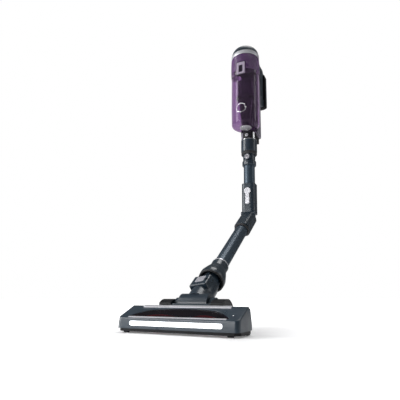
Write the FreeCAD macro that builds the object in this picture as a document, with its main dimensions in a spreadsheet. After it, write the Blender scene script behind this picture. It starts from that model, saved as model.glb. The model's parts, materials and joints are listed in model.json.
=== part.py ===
"""Cordless stick vacuum with a flex joint in its wand, in millimetres.

Three frames carry the pieces: the floor head, the lower wand, and the upper wand with the hand unit on it.
Each is worked out from the driving sizes, and the row's origin is the middle of the hand grip.
"""
import FreeCAD, Part
import math
import os
import re

import Sketcher
from FreeCAD import Placement, Rotation, Vector

DRIVING_SIZES = {
    # stance: how the wand leans and bends as it stands in use
    "pivot_back": 95.6, "pivot_height": 51.3, "lower_lean": 54.3, "wand_roll": 1.5, "flex_bend": 53.2,
    "lower_length": 443.5, "grip_back": 107.0, "grip_up": 500.0,
    # floor head
    "head_width": 260.0, "head_depth": 66.0, "head_low": 8.3, "nose_high": 27.9, "tail_high": 50.4,
    "tail_back": 52.8, "shell_wall": 2.6, "sole_low": 3.0, "brush_back": 34.0, "brush_high": 17.8,
    "brush_tip": 17.2, "brush_core_r": 12.0, "brush_bore": 9.6, "brush_length": 220.0, "led_length": 197.0,
    "led_height": 8.4, "led_high": 18.3, "window_half": 110.0, "wheel_r": 30.0, "wheel_back": 87.8,
    "wheel_apart": 60.0,
    "wheel_width": 13.0, "roller_r": 4.0, "roller_apart": 111.0, "roller_back": 9.0,
    # neck
    "barrel_r": 23.0, "barrel_half": 33.0, "neck_r": 26.0, "journal_r": 18.0, "spigot_r": 17.6,
    "bell_r": 31.2, "bell_low": 86.0, "bell_high": 131.0, "bend_fit": 0.08,
    # wand
    "tube_r": 17.85, "tube_wall": 1.2, "sleeve_high": 156.0, "flex_low": 353.0, "flex_half": 21.5,
    "flex_top": 105.0, "hinge_front": 14.5, "hinge_disc_r": 6.7, "hinge_pin_r": 3.0, "hinge_tongue": 12.0,
    "collar_low": 168.0, "collar_high": 206.0, "collar_r": 22.3, "socket_low": 215.0, "socket_high": 257.0,
    "socket_r": 26.0, "socket_bore": 20.0, "knob_high": 195.0,
    # hand unit
    "cup_front": 33.0, "cup_r": 46.0, "cup_low": 291.0, "seam_high": 477.0, "seam_tilt": 17.0,
    "cup_wall": 2.2, "lid_high": 542.0, "ring_high": 555.5, "cap_high": 590.0, "spine_half": 30.0,
    "spine_back": 50.0, "spine_low": 281.5, "spine_high": 571.0, "inlet_knob_high": 270.0, "nozzle_r": 24.5,
    "grip_half": 18.0, "grip_front": 90.0, "grip_rear": 124.0, "battery_half": 24.0, "battery_deep": 23.5,
    "battery_low": 442.0, "battery_high": 588.0, "gap": 0.4, "fan_shaft_r": 3.0,
}

doc = FreeCAD.newDocument("stick_vacuum")
sheet = doc.addObject("Spreadsheet::Sheet", "Sizes")
for row, (alias, amount) in enumerate(DRIVING_SIZES.items(), start=1):
    sheet.set(f"A{row}", alias)
    sheet.set(f"B{row}", str(amount))
    sheet.setAlias(f"B{row}", alias)
doc.recompute()

NODES = []
FULL_TURN = 360.0


# ---------------------------------------------------------------- sizes and frames

def bound(text):
    """The expression with each driving size named as a cell of the sheet."""
    def cell(match):
        word = match.group()
        return f"Sizes.{word}" if word in DRIVING_SIZES else word
    return re.sub(r"[a-z][a-z0-9_]*", cell, str(text))


def size(text):
    """The number that an expression of driving sizes has now."""
    amount = sheet.evalExpression(bound(text))
    return float(getattr(amount, "Value", amount))


def turn_x(angle):
    return Rotation(Vector(1, 0, 0), angle)


def turn_y(angle):
    return Rotation(Vector(0, 1, 0), angle)


def turn_z(angle):
    return Rotation(Vector(0, 0, 1), angle)


def moved(x=0, y=0, z=0, rotation=None):
    """A placement at a point given in driving sizes."""
    return Placement(Vector(size(x), size(y), size(z)), rotation or Rotation())


lower_turn = turn_x(-size("lower_lean")) * turn_z(size("wand_roll"))
lower_in_floor = moved(0, "pivot_back", "pivot_height", lower_turn)
upper_in_floor = lower_in_floor * moved(0, 0, "lower_length", turn_x(size("flex_bend")))
grip_point = upper_in_floor.multVec(Vector(0, size("grip_back"), size("grip_up")))

HEAD = Placement(-grip_point, Rotation())
LOWER = HEAD * lower_in_floor
UPPER = HEAD * upper_in_floor
CUP = UPPER * moved(0, "-cup_front", 0)


# ---------------------------------------------------------------- ways of making a solid

def plane_of(body, role):
    return next(feature for feature in body.Origin.OriginFeatures if feature.Role == role)


def arc_between(start, end, radius):
    """A short anticlockwise arc, which swells to the right of the way from start to end."""
    way = end - start
    half = way.Length / 2
    right = Vector(way.y, -way.x, 0).normalize()
    middle = (start + end) * 0.5 + right * (radius - math.sqrt(radius * radius - half * half))
    return Part.Arc(start, middle, end)


def outline(body, role, points, height=0):
    """A closed sketch through points (x, y) or (x, y, radius of the arc that arrives there).

    An arc swells to the left of the way round for a positive radius and to the right for a negative one.
    """
    sketch = body.newObject("Sketcher::SketchObject", "Outline")
    sketch.AttachmentSupport = (plane_of(body, role), [""])
    sketch.MapMode = "FlatFace"
    sketch.setExpression("AttachmentOffset.Base.z", bound(height))
    places = [Vector(size(point[0]), size(point[1]), 0) for point in points]
    count = len(points)
    ends = []
    for index in range(count):
        following = (index + 1) % count
        start, end = places[index], places[following]
        radius = size(points[following][2]) if len(points[following]) == 3 else 0
        # arcs of a sketch run anticlockwise, so one that swells to the left is drawn from its far end
        ends.append((2, 1) if radius > 0 else (1, 2))
        if radius > 0:
            sketch.addGeometry(arc_between(end, start, radius))
        elif radius < 0:
            sketch.addGeometry(arc_between(start, end, -radius))
        else:
            sketch.addGeometry(Part.LineSegment(start, end))
    for index in range(count):
        after = (index + 1) % count
        sketch.addConstraint(Sketcher.Constraint("Coincident", index, ends[index][1], after, ends[after][0]))
    for index, point in enumerate(points):
        for kind, text in zip(("DistanceX", "DistanceY"), point):
            added = sketch.addConstraint(Sketcher.Constraint(kind, index, ends[index][0], size(text)))
            sketch.setExpression(f"Constraints[{added}]", bound(text))
        if len(point) == 3:
            edge = (index - 1) % count
            added = sketch.addConstraint(Sketcher.Constraint("Radius", edge, abs(size(point[2]))))
            sketch.setExpression(f"Constraints[{added}]", bound(f"abs({point[2]})"))
    return sketch


def new_body(name):
    return doc.addObject("PartDesign::Body", f"{name}_body")


def turned(name, profile, axis="V_Axis", role="XZ_Plane"):
    """A body turned about an axis from a profile of (radius, height) points."""
    body = new_body(name)
    revolution = body.newObject("PartDesign::Revolution", "Turned")
    revolution.Profile = outline(body, role, profile)
    revolution.ReferenceAxis = (revolution.Profile[0], [axis])
    revolution.Angle = FULL_TURN
    doc.recompute()
    return body


def pad(body, sketch, length, both_ways=False):
    """Adds a sketch pushed out by a length to a body."""
    feature = body.newObject("PartDesign::Pad", "Pad")
    feature.Profile = sketch
    feature.setExpression("Length", bound(length))
    if both_ways:
        feature.SideType = "Symmetric"
    doc.recompute()
    return feature


def pocket(body, sketch, length=None, both_ways=False, reverse=False):
    """Cuts a sketch pushed in by a length, or all the way, and makes sure that it cuts."""
    before = body.Shape.Volume
    feature = body.newObject("PartDesign::Pocket", "Pocket")
    feature.Profile = sketch
    if length is None:
        feature.Type = "ThroughAll"
    else:
        feature.setExpression("Length", bound(length))
    if both_ways:
        feature.SideType = "Symmetric"
    feature.Reversed = reverse
    doc.recompute()
    assert body.Shape.Volume < before - 0.01, f"a pocket in {body.Name} cut nothing"
    return feature


def rounded(body, radius, chosen):
    """Rounds the edges of a body that the chosen test picks."""
    base = body.Tip
    names = [f"Edge{number}" for number, edge in enumerate(base.Shape.Edges, start=1) if chosen(edge)]
    assert names, f"no edge of {body.Name} to round"
    fillet = body.newObject("PartDesign::Fillet", "Fillet")
    fillet.Base = (base, names)
    fillet.setExpression("Radius", bound(radius))
    doc.recompute()
    assert "Invalid" not in fillet.State, f"a fillet of {body.Name} failed"
    return fillet


def along(direction):
    """A test for straight edges that run along a direction."""
    way = Vector(*direction)

    def chosen(edge):
        straight = edge.Curve.TypeId == "Part::GeomLine"
        return straight and abs(edge.tangentAt(edge.FirstParameter).dot(way)) > 0.99
    return chosen


def prism(name, role, points, length, both_ways=False, height=0):
    """A body of one outline pushed out by a length."""
    body = new_body(name)
    pad(body, outline(body, role, points, height), length, both_ways)
    return body


def rounded_rectangle(half_x, half_y, corner, middle_y="0"):
    """Points of a rectangle with round corners, anticlockwise, from its lower left side."""
    points = []
    for across, up in ((-1, -1), (1, -1), (1, 1), (-1, 1)):
        side_x, side_y = f"{across} * ({half_x})", f"{middle_y} + {up} * ({half_y})"
        inner_x = f"{across} * ({half_x} - ({corner}))"
        inner_y = f"{middle_y} + {up} * ({half_y} - ({corner}))"
        first, second = (side_x, inner_y), (inner_x, side_y)
        if across * up < 0:
            first, second = second, first
        points.append(first)
        points.append((*second, f"-({corner})"))
    return points


def cylinder(name, radius, length, where=None):
    """A Part cylinder along its own Z."""
    item = doc.addObject("Part::Cylinder", name)
    item.setExpression("Radius", bound(radius))
    item.setExpression("Height", bound(length))
    item.Placement = where or Placement()
    return item


def block(name, low, high):
    """A Part box between two corners given in driving sizes."""
    item = doc.addObject("Part::Box", name)
    for side, near, far in zip(("Length", "Width", "Height"), low, high):
        item.setExpression(side, bound(f"({far}) - ({near})"))
    for letter, near in zip("xyz", low):
        item.setExpression(f"Placement.Base.{letter}", bound(near))
    return item


def cut(name, base, tool):
    item = doc.addObject("Part::Cut", name)
    item.Base = base
    item.Tool = tool
    doc.recompute()
    assert item.Shape.Volume < base.Shape.Volume - 0.01, f"{name} cut nothing"
    return item


def fuse(name, *pieces):
    item = doc.addObject("Part::MultiFuse", name)
    item.Shapes = list(pieces)
    doc.recompute()
    return item


def common(name, *pieces):
    item = doc.addObject("Part::MultiCommon", name)
    item.Shapes = list(pieces)
    doc.recompute()
    return item


def group(name, *pieces):
    """Separate solids kept as one compound."""
    item = doc.addObject("Part::Compound", name)
    item.Links = list(pieces)
    doc.recompute()
    return item


def shaped(name, shape):
    """A plain shape worked out from the sheet's sizes by Part's own functions."""
    item = doc.addObject("Part::Feature", name)
    item.Shape = shape
    return item


def tube(name, outer, inner, low, high, where=None):
    """A straight tube between two heights."""
    length = f"({high}) - ({low})"
    start = (where or Placement()) * moved(0, 0, low)
    outside = cylinder(f"{name}_out", outer, length, start)
    return cut(name, outside, cylinder(f"{name}_in", inner, length, start))


def along_x(x, y, z):
    """A placement whose Z runs along +X from a point given in driving sizes."""
    return moved(x, y, z, turn_y(90))


def node(label, item, frame):
    """Gives a finished piece its label and its place in the whole."""
    item.Label = label
    item.Placement = frame
    NODES.append(item)
    return item


# ---------------------------------------------------------------- floor head

def head_side(wall):
    """The wedge-shaped side outline of the head, as (back, height), drawn in by a wall thickness."""
    return [
        (wall, f"head_low - {wall}"),
        (f"head_depth - {wall}", f"head_low - {wall}"),
        (f"head_depth - {wall}", "30"),
        (f"62.5 - {wall}", f"46 - {wall}"),
        ("tail_back", f"tail_high - 1.1 * {wall}"),
        (f"2.2 + {wall}", f"nose_high - 0.9 * {wall}"),
    ]


def bow(inset):
    """A low bow seen from above, straight in front and arched behind, drawn in all round."""
    half = f"window_half - 3 * {inset}"
    return [
        (f"-({half})", f"8 + {inset}", "-90"),
        (half, f"8 + {inset}"),
        (f"70 - {inset}", f"36 - {inset}", "-90"),
        (f"-(70 - {inset})", f"36 - {inset}", "-420"),
    ]


def head_shell():
    body = prism("shell", "YZ_Plane", head_side("0"), "head_width", both_ways=True)

    def nose_corner(edge):
        ends = [vertex.Point for vertex in edge.Vertexes]
        return abs(ends[0].x - ends[1].x) < 0.1 and max(end.y for end in ends) < 3

    def top_edge(edge):
        return edge.BoundBox.ZMin > size("nose_high") - 1
    rounded(body, "9", nose_corner)
    rounded(body, "2.2", top_edge)
    inside = outline(body, "YZ_Plane", head_side("shell_wall"))
    pocket(body, inside, "head_width - 2 * shell_wall", both_ways=True)
    pocket(body, outline(body, "XY_Plane", bow("0")), "60", reverse=True)
    bar = rounded_rectangle("led_length / 2 + 0.2", "led_height / 2 + 0.2", "led_height / 2 - 0.8",
                            "led_high")
    pocket(body, outline(body, "XZ_Plane", bar, "-20"), "40", both_ways=True)
    rooms = [cylinder(f"shell_room_{side}", "wheel_r + 1.2", "wheel_width + 3",
                      along_x(f"{side} * wheel_apart - wheel_width / 2 - 1.5", "wheel_back", "wheel_r"))
             for side in (-1, 1)]
    return cut("shell_notched", body, fuse("shell_rooms", *rooms))


def brush_window():
    """A clear sheet that fills the bow-shaped opening and follows the slope of the top."""
    sheet_body = prism("pane", "YZ_Plane", head_side("0.5"), "head_width - 8", both_ways=True)
    inside = outline(sheet_body, "YZ_Plane", head_side("shell_wall"))
    pocket(sheet_body, inside, "head_width", both_ways=True)
    mask = prism("pane_mask", "XY_Plane", bow("0.2"), "60")
    return common("window", sheet_body, mask)


def trims():
    """The bright strips behind and in front of the window."""
    rear = prism("rear_strip", "YZ_Plane", [
        ("44.5", "tail_high - 3.6"), ("tail_back - 1.2", "tail_high - 0.45"),
        ("tail_back - 1.2", "tail_high + 1"), ("44.5", "tail_high - 2")], "196", both_ways=True)
    front = prism("front_strip", "YZ_Plane", [
        ("4", "nose_high + 0.9"), ("7.4", "nose_high + 2.4"),
        ("7.2", "nose_high + 3.2"), ("3.8", "nose_high + 1.7")], "2 * window_half - 10",
        both_ways=True)
    return rear, front


def led_lens():
    bar = rounded_rectangle("led_length / 2", "led_height / 2", "led_height / 2 - 1", "led_high")
    lens = prism("lens", "XZ_Plane", bar, "2.6")
    lens.Placement = moved(0, "2.8", 0)
    return lens


def led_strip():
    """A narrow board with a row of light chips that face the lens."""
    board = block("led_board", ("-94", "5.2", "led_high - 3.5"), ("94", "6.4", "led_high + 3.5"))
    chips = []
    for index in range(12):
        middle = f"(15.6 * {index} - 85.8)"
        chips.append(block(f"chip_{index}", (f"{middle} - 1.75", "4.2", "led_high - 1.4"),
                           (f"{middle} + 1.75", "5.2", "led_high + 1.4")))
    return fuse("led_row", board, *chips)


def head_sole():
    """The black base plate with its brush slot, roller notches and low runners."""
    half = "head_width / 2 - 0.8"
    plate = prism("sole", "XY_Plane", [
        (f"-({half} - 9)", "2.2"), (f"{half} - 9", "2.2"), (half, "11"), (half, "head_depth - 6"),
        (f"{half} - 6", "head_depth - 1"), (f"-({half} - 6)", "head_depth - 1"),
        (f"-({half})", "head_depth - 6"), (f"-({half})", "11")],
        "head_low - sole_low - 0.2", height="sole_low")
    slot = rounded_rectangle("brush_length / 2 + 4", "18.4", "3", "brush_back")
    pocket(plate, outline(plate, "XY_Plane", slot, "-5"), "30", reverse=True)
    for side in (-1, 1):
        notch = rounded_rectangle("7", "roller_r + 0.8", "1", "0")
        place = [(f"{x} + {side} * roller_apart", f"{y} + roller_back", *rest) for x, y, *rest in notch]
        pocket(plate, outline(plate, "XY_Plane", place, "-5"), "30", reverse=True)
    for side in (-1, 1):
        for near, far, low in (("48", "62", "0.6"), ("30", "44", "1.8")):
            step = [(f"{side} * ({half} - 10)", near), (f"{side} * ({half} - 1.5)", near),
                    (f"{side} * ({half} - 1.5)", far), (f"{side} * ({half} - 10)", far)]
            pad(plate, outline(plate, "XY_Plane", step, low), f"sole_low - {low} + 1")
    return plate


def rear_bridge():
    """The rear frame: a floor, a saddle wall, two domed wheel guards and two cheeks for the neck's pivot."""
    floor = block("bridge_floor", ("-50", "head_depth + 0.3", "10"), ("50", "96", "25"))
    saddle = prism("saddle", "YZ_Plane", [
        ("head_depth + 0.3", "12"), (69, "12"), (69, "53"), ("head_depth + 1.6", "55", "2"),
        ("head_depth + 0.3", "53.4", "1.5")], "84", both_ways=True)
    pieces = [floor, saddle]
    for side in (-1, 1):
        guard = cylinder(f"guard_{side}", "wheel_r + 3.5", "28",
                         along_x(f"{side} * wheel_apart - 14", "wheel_back", "wheel_r"))
        room = cylinder(f"room_{side}", "wheel_r + 1", "wheel_width + 2",
                        along_x(f"{side} * wheel_apart - wheel_width / 2 - 1", "wheel_back", "wheel_r"))
        below = block(f"below_{side}", ("-90", "0", "-10"), ("90", "140", "22"))
        open_guard = cut(f"open_guard_{side}", cut(f"hollow_guard_{side}", guard, room), below)
        front = block(f"front_{side}", ("-90", "0", "-10"), ("90", "head_depth + 0.3", "100"))
        pieces.append(cut(f"fitted_guard_{side}", open_guard, front))
        cheek = block(f"cheek_{side}", (f"{side} * 40 - 5.6", "pivot_back - 15", "12"),
                      (f"{side} * 40 + 5.6", "pivot_back + 15", "pivot_height"))
        top = cylinder(f"cheek_top_{side}", "15", "11.2",
                       along_x(f"{side} * 40 - 5.6", "pivot_back", "pivot_height"))
        pieces += [cheek, top]
    whole = fuse("bridge_solid", *pieces)
    pin_bore = cylinder("pivot_bore", "5", "100", along_x("-50", "pivot_back", "pivot_height"))
    wheel_bores = cylinder("axle_bore", "3", "180", along_x("-90", "wheel_back", "wheel_r"))
    return cut("bridge", cut("bridge_bored", whole, pin_bore), wheel_bores)


def wheel(name):
    """A rear wheel about its own axis: a grooved hub that carries a soft tyre."""
    half = "wheel_width / 2"
    return turned(name, [
        (3.08, f"-{half}"), (10, f"-{half}"), (12, f"2 - {half}"), (24, f"2 - {half}"), (24, f"{half} - 2"),
        (12, f"{half} - 2"), (10, half), (3.08, half)])


def tyre(name):
    half = "wheel_width / 2"
    return turned(name, [
        (24, f"1 - {half}"), ("wheel_r - 3", f"-{half}"), ("wheel_r", f"3 - {half}", "-3.2"),
        ("wheel_r", f"{half} - 3"), ("wheel_r - 3", half, "-3.2"), (24, f"{half} - 1")])


def roller():
    """A small front roller on stub pins, about its own axis."""
    return turned("roller", [
        (0, "-6.7"), (1.5, "-6.7"), (1.5, "-5.6"), ("roller_r - 0.6", "-5.6"), ("roller_r", "-5"),
        ("roller_r", "5"), ("roller_r - 0.6", "5.6"), (1.5, "5.6"), (1.5, "6.7"), (0, "6.7")])


def brush_core():
    """The roller tube that turns round its motor, with a ridge at each end."""
    half = "brush_length / 2"
    return turned("brush_tube", [
        ("brush_bore", f"-{half}"), ("brush_core_r + 2", f"-{half}"), ("brush_core_r + 2", f"3 - {half}"),
        ("brush_core_r", f"4 - {half}"), ("brush_core_r", f"{half} - 4"),
        ("brush_core_r + 2", f"{half} - 3"), ("brush_core_r + 2", half), ("brush_bore", half)])


def brush_strips(name, first_turn, strips, thick):
    """Twisted strips of bristle that meet in a V in the middle of the roller."""
    core, tip = size("brush_core_r") + 0.05, size("brush_tip")
    half = size("brush_length") / 2 - 5
    twist, steps = 150.0, 12
    solids = []
    for strip in range(strips):
        for side in (-1, 1):
            sections = []
            for step in range(steps + 1):
                share = step / steps
                angle = first_turn + strip * FULL_TURN / strips + side * twist * share * side
                z = side * (1 + (half - 1) * share)
                corners = [Vector(core, -thick / 2, 0), Vector(tip, -thick / 2, 0),
                           Vector(tip, thick / 2, 0), Vector(core, thick / 2, 0)]
                place = Placement(Vector(0, 0, z), turn_z(angle))
                corners = [place.multVec(corner) for corner in corners]
                sections.append(Part.makePolygon(corners + corners[:1]))
            solids.append(Part.makeLoft(sections, True, False))
    return shaped(name, Part.makeCompound(solids))


def roller_motor():
    """The motor that stays still inside the roller, and the bearing that carries the other end."""
    reach = "(head_width / 2 - shell_wall - 0.1)"
    inner = "(brush_length / 2 + 1)"
    motor = cylinder("motor_can", "9", "96", moved(0, 0, f"-{inner}"))
    left = cylinder("left_end", "9.4", f"{reach} - {inner}", moved(0, 0, f"-{reach}"))
    bearing = cylinder("right_bearing", "brush_bore - bend_fit", "14", moved(0, 0, f"{inner} - 14"))
    right = cylinder("right_end", "9.4", f"{reach} - {inner}", moved(0, 0, inner))
    return group("brush_drive", fuse("left_drive", motor, left), fuse("right_drive", right, bearing))


def pins(name, radius, spans, back, height):
    """Plain pins along X, one for each (from, to) span."""
    made = [cylinder(f"{name}_{index}", radius, f"({far}) - ({near})", along_x(near, back, height))
            for index, (near, far) in enumerate(spans)]
    return group(name, *made)


def sole_screws():
    made = [cylinder(f"screw_head_{index}", "3", "1.6", moved(x, y, "sole_low - 1.7"))
            for index, (x, y) in enumerate(((-112, 56), (-60, 58), (60, 58), (112, 56)))]
    return group("screw_heads", *made)


bridge = rear_bridge()
rear_trim, lip_trim = trims()
BRUSH = HEAD * along_x(0, "brush_back", "brush_high")
LEFT_WHEEL = HEAD * along_x("-wheel_apart", "wheel_back", "wheel_r")
RIGHT_WHEEL = HEAD * along_x("wheel_apart", "wheel_back", "wheel_r")
node("head_shell", head_shell(), HEAD)
node("brush_window", brush_window(), HEAD)
node("rear_trim", rear_trim, HEAD)
node("lip_trim", lip_trim, HEAD)
node("led_lens", group("lens_node", led_lens()), HEAD)
node("led_strip", led_strip(), HEAD)
node("head_sole", head_sole(), HEAD)
node("rear_bridge", bridge, HEAD)
node("sole_screws", sole_screws(), HEAD)
node("brush_drive", roller_motor(), BRUSH)
node("brush_core", brush_core(), BRUSH)
node("bristle_strips", brush_strips("bristles", 20, 2, 2.4), BRUSH)
node("beater_strips", brush_strips("beaters", 110, 2, 3.2), BRUSH)
axle_spans = [("-wheel_apart - 13", "-wheel_apart + 13"), ("wheel_apart - 13", "wheel_apart + 13")]
node("rear_axles", pins("axles", "3", axle_spans, "wheel_back", "wheel_r"), HEAD)
node("rear_wheel_left", wheel("left_wheel"), LEFT_WHEEL)
node("rear_wheel_right", wheel("right_wheel"), RIGHT_WHEEL)
node("rear_tyre_left", tyre("left_tyre"), LEFT_WHEEL)
node("rear_tyre_right", tyre("right_tyre"), RIGHT_WHEEL)
node("front_roller_left", roller(), HEAD * along_x("-roller_apart", "roller_back", "roller_r"))
node("front_roller_right", roller(), HEAD * along_x("roller_apart", "roller_back", "roller_r"))


# ---------------------------------------------------------------- neck

def neck_barrel():
    """The barrel that pitches between the head's cheeks, and the round socket for the swivel."""
    barrel = cylinder("barrel", "barrel_r", "2 * barrel_half", along_x("-barrel_half", 0, 0))
    socket = cylinder("socket", "neck_r", "31 - 6", moved(0, 0, 6))
    bore = cylinder("socket_bore", "journal_r + bend_fit", "40", moved(0, 0, 12))
    pin_bore = cylinder("barrel_pin_bore", "5 + bend_fit", "90", along_x("-45", 0, 0))
    socketed = cut("barrel_socketed", fuse("barrel_solid", barrel, socket), bore)
    return cut("neck_barrel_bored", socketed, pin_bore)


def neck_spigot():
    """The swivelling neck: a journal below, a shouldered body and a spigot that the wand plugs onto."""
    turned_core = turned("neck_core", [
        (13, 13.5), ("journal_r", 13.5), ("journal_r", 31.4), (25, 31.4), (25.5, 36), (25.5, 60),
        (23.5, 74), (22, 84), ("spigot_r", 88), ("spigot_r", 122), (13.5, 122), (13.5, 80), (13, 30)])
    shoulder = prism("shoulder", "XY_Plane", rounded_rectangle("22", "13", "4", "-16"), "36", height="32")
    rounded(shoulder, "3", along((1, 0, 0)))
    bore = cylinder("neck_bore", "13", "120", moved(0, 0, 10))
    solid = cut("neck_open", fuse("neck_solid", turned_core, shoulder), bore)
    plate_room = block("plate_room", ("-11.2", "-40", "42.8"), ("11.2", "-27.6", "63.2"))
    catch_room = block("catch_room", ("-6.3", "-40", "88.7"), ("6.3", "-14.6", "103.3"))
    slot = prism("diamond", "XZ_Plane", [("17", "44"), ("20.5", "49"), ("17", "54"), ("13.5", "49")], "60")
    carved = cut("neck_plated", solid, plate_room)
    return cut("neck_marked", cut("neck_caught", carved, catch_room), common("diamond_cut", slot, block(
        "diamond_reach", ("10", "-40", "40"), ("24", "-25", "58"))))


def bell_collar():
    """The flared collar of the wand's lower end, open below, and the sleeve that grips the tube."""
    return turned("bell", [
        ("bell_r - 3.4", "bell_low + 3"), ("bell_r - 0.6", "bell_low + 3"), ("bell_r", "bell_low + 14", "-40"),
        (27, "bell_low + 30"), (22.4, "bell_high"), (20.8, "bell_high + 1.5"), (21.2, "sleeve_high - 4.3"),
        ("tube_r + 0.05", "sleeve_high - 4.3"), ("tube_r + 0.05", "bell_high + 3"),
        ("spigot_r + bend_fit", "bell_high"), ("spigot_r + bend_fit", 108), (23.5, 104), (26.8, 94)])


def sleeve_ring():
    return turned("bright_ring", [
        ("tube_r + 0.05", "sleeve_high - 4"), (21.4, "sleeve_high - 4"), (21.4, "sleeve_high - 1.5"),
        (20.4, "sleeve_high"), ("tube_r + 0.05", "sleeve_high")])


def bell_lip():
    return turned("lip_ring", [
        ("bell_r - 4", "bell_low"), ("bell_r - 1.4", "bell_low"), ("bell_r - 0.6", "bell_low + 1"),
        ("bell_r - 0.6", "bell_low + 2.9"), ("bell_r - 4", "bell_low + 2.9")])


neck_pin = pins("neck_pin", "5", [("-45.5", "-barrel_half + 3"), ("barrel_half - 3", "45.5")],
                "pivot_back", "pivot_height")
BARREL = HEAD * moved(0, "pivot_back", "pivot_height", turn_x(-size("lower_lean")))
NECK = LOWER * moved(rotation=turn_z(-10))
node("pivot_pins", neck_pin, HEAD)
node("neck_barrel", neck_barrel(), BARREL)
node("neck_spigot", neck_spigot(), NECK)
plate = prism("neck_badge", "XZ_Plane", rounded_rectangle("11", "10", "3", "53"), "1.8")
plate.Placement = moved(0, "-27.7", 0)
node("neck_plate", group("neck_plate_node", plate), NECK)
catch = prism("catch_body", "XZ_Plane", rounded_rectangle("6", "7", "2.5", "96"), "5.2")
catch.Placement = moved(0, "-16.4", 0)
node("neck_catch", group("neck_catch_node", catch), NECK)
node("bell_collar", bell_collar(), LOWER)
node("bell_lip", bell_lip(), LOWER)
node("sleeve_ring", sleeve_ring(), LOWER)


# ---------------------------------------------------------------- wand

HINGE_UP = size("hinge_front") * math.tan(math.radians(size("flex_bend") / 2))


def hinge_disc(name, radius, half_near, half_far, up):
    """Two knuckle discs about the hinge pin, one each side of the middle."""
    made = [cylinder(f"{name}_{side}", radius, f"({half_far}) - ({half_near})",
                     along_x(start, "-hinge_front", up))
            for side, start in (("left", f"-({half_far})"), ("right", half_near))]
    return fuse(name, *made)


def flex_shell(name, low, high, hinge_up, open_end, discs, rooms):
    """A boxy tube end with hinge knuckles; its hinge face is relieved in front of the pin."""
    skin = prism(f"{name}_skin", "XY_Plane", rounded_rectangle("flex_half", "flex_half", "13"),
                 f"({high}) - ({low})", height=low)
    mouth_low, mouth_high = open_end
    hollow = cylinder(f"{name}_hollow", "16.6", f"({high}) - ({low})", moved(0, 0, low))
    seat = cylinder(f"{name}_seat", "tube_r + 0.05", f"({mouth_high}) - ({mouth_low})",
                    moved(0, 0, mouth_low))
    relief = relief_wedge(f"{name}_relief", hinge_up, 1 if size(high) > size(hinge_up) + 50 else -1)
    open_shell = cut(f"{name}_open", skin, fuse(f"{name}_inside", hollow, seat))
    carved = cut(f"{name}_carved", cut(f"{name}_eased", open_shell, relief), rooms)
    return fuse(f"{name}_knuckled", carved, discs)


def relief_wedge(name, up, way):
    """The wedge in front of the hinge pin that lets the bend close."""
    slope = "tan(flex_bend / 2 + 1)"
    reach = "(flex_half + 2 - hinge_front)"
    return prism(name, "YZ_Plane", [
        ("-hinge_front + 0.5", f"{up} - {way} * 1"),
        ("-hinge_front + 0.5", f"{up}"),
        ("-(flex_half + 2)", f"{up} + {way} * {reach} * {slope}"),
        ("-(flex_half + 2)", f"{up} - {way} * 1")], "60", both_ways=True)


def flex_upper_shell():
    up = str(round(HINGE_UP, 4))
    discs = hinge_disc("tongue", "hinge_disc_r", "6", "hinge_tongue", up)
    rooms = hinge_disc("fork_room", "hinge_disc_r + 0.5", "hinge_tongue + 0.3", "flex_half + 3", up)
    shell = flex_shell("upper_shell", f"{up} + 0.2", "flex_top", up, ("88", "flex_top"), discs, rooms)
    pad_back = prism("back_pad", "XY_Plane", rounded_rectangle("14", "3", "2.5", "22"), "40", height="10")
    head_room = cylinder("key_head_room", "10.8", "8", moved(0, "-flex_half + 3.9", "79", turn_x(90)))
    stem_room = block("key_stem_room", ("-6.3", "-flex_half - 4.1", "36.7"),
                      ("6.3", "-flex_half + 3.9", "79"))
    key_room = fuse("key_room", head_room, stem_room)
    ribs = [block(f"grip_rib_{index}", ("-9", "-flex_half - 0.9", f"22 + {index} * 4"),
                  ("9", "-flex_half + 2", f"23.6 + {index} * 4")) for index in range(3)]
    pin_bore = cylinder("upper_pin_bore", "hinge_pin_r + bend_fit", "60", along_x("-30", "-hinge_front", up))
    body = cut("upper_bored", fuse("upper_whole", shell, pad_back, *ribs), pin_bore)
    return cut("upper_keyed", body, key_room)


def flex_lower_shell():
    up = f"lower_length - {HINGE_UP:.4f}"
    discs = hinge_disc("fork", "hinge_disc_r", "hinge_tongue + 0.6", "flex_half + 0.3", up)
    rooms = hinge_disc("tongue_room", "hinge_disc_r + 0.5", "0", "hinge_tongue + 0.3", up)
    shell = flex_shell("lower_shell", "flex_low", f"{up} - 0.2", up, ("flex_low", "372"), discs, rooms)
    pin_bore = cylinder("lower_pin_bore", "hinge_pin_r", "60", along_x("-30", "-hinge_front", up))
    return cut("lower_bored", shell, pin_bore)


def flex_hose():
    """The oval bellows that bridges the open back of the joint, bent about the hinge."""
    ellipse = Part.Ellipse(Vector(0, 0, 0), 15.5, 10.5)
    section = Part.Face(Part.Wire(ellipse.toShape()))
    section.Placement = moved(0, "2.2", str(round(HINGE_UP, 4)))
    hinge = Vector(0, -size("hinge_front"), HINGE_UP)
    bend = section.revolve(hinge, Vector(1, 0, 0), -size("flex_bend"))
    end = section.extrude(Vector(0, 0, 10))
    far_end = section.copy()
    far_end.rotate(hinge, Vector(1, 0, 0), -size("flex_bend"))
    away = turn_x(-size("flex_bend")).multVec(Vector(0, 0, -10))
    return shaped("bellows", bend.fuse([end, far_end.extrude(away)]).removeSplitter())


def flex_key():
    """The keyhole-shaped release on the front of the joint."""
    head = cylinder("key_head", "10.5", "4", moved(0, "-flex_half + 2", "79", turn_x(90)))
    stem = block("key_stem", ("-6", "-flex_half - 2", "37"), ("6", "-flex_half + 2", "79"))
    return fuse("key", head, stem)


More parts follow.
